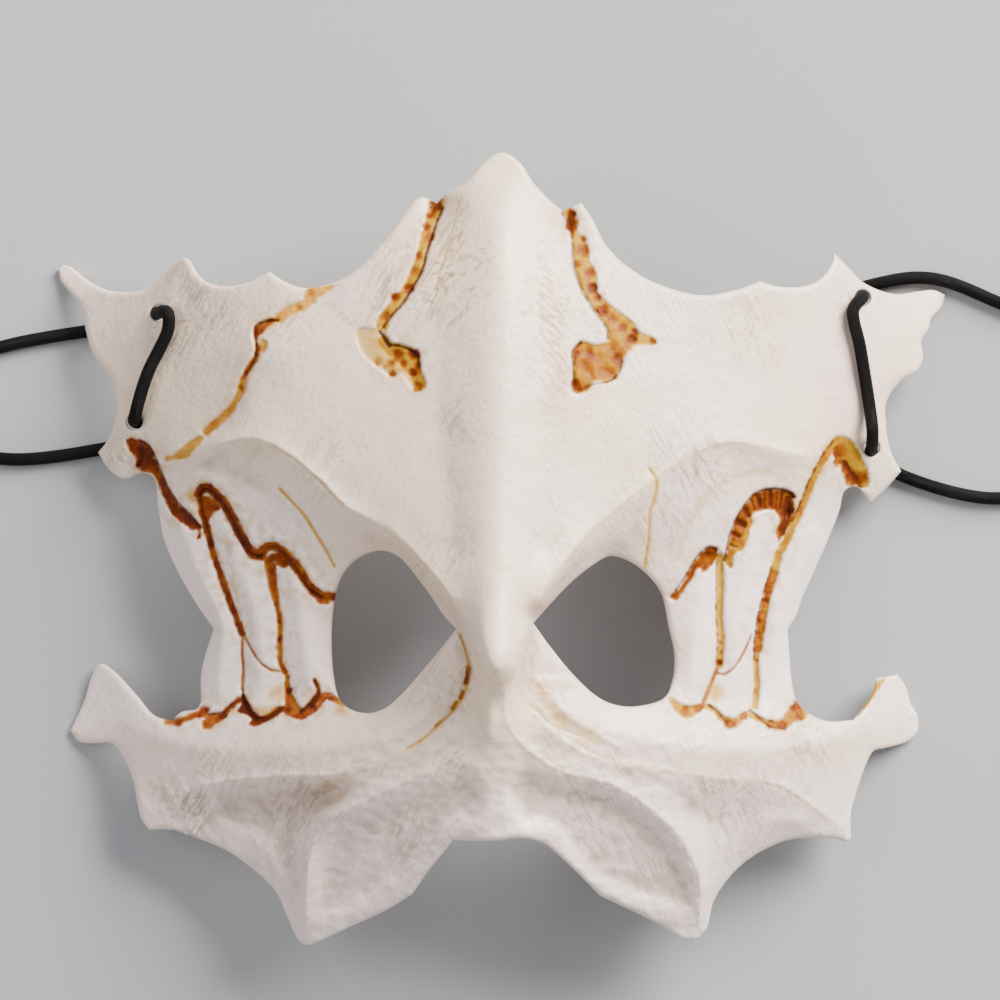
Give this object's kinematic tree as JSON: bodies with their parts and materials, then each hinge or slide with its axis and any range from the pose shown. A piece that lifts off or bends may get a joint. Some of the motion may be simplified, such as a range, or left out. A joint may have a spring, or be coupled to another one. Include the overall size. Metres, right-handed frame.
{
  "type": "half face skull mask",
  "caption": "Hollow cast half face mask shaped as a horned, beaked beast skull with tooth columns and open eye holes, worn on a black round elastic cord loop.",
  "frame": {"origin": "on the resting surface, under the centre of the shell's box", "axes": "+X to the right of a front view, across the wings; +Y up to the forehead; +Z out of the face, away from the resting surface"},
  "size_m": [0.3349, 0.2214, 0.0797],
  "materials": {
    "bone_resin": "satin bone white paint on a hard casting, with brown antiquing in the cracks and between the teeth",
    "black_elastic": "black braided round elastic"
  },
  "bodies": {
    "root": {"skull_shell": "bone_resin", "elastic_cord": "black_elastic", "cord_knot": "black_elastic"}
  },
  "joints": []
}
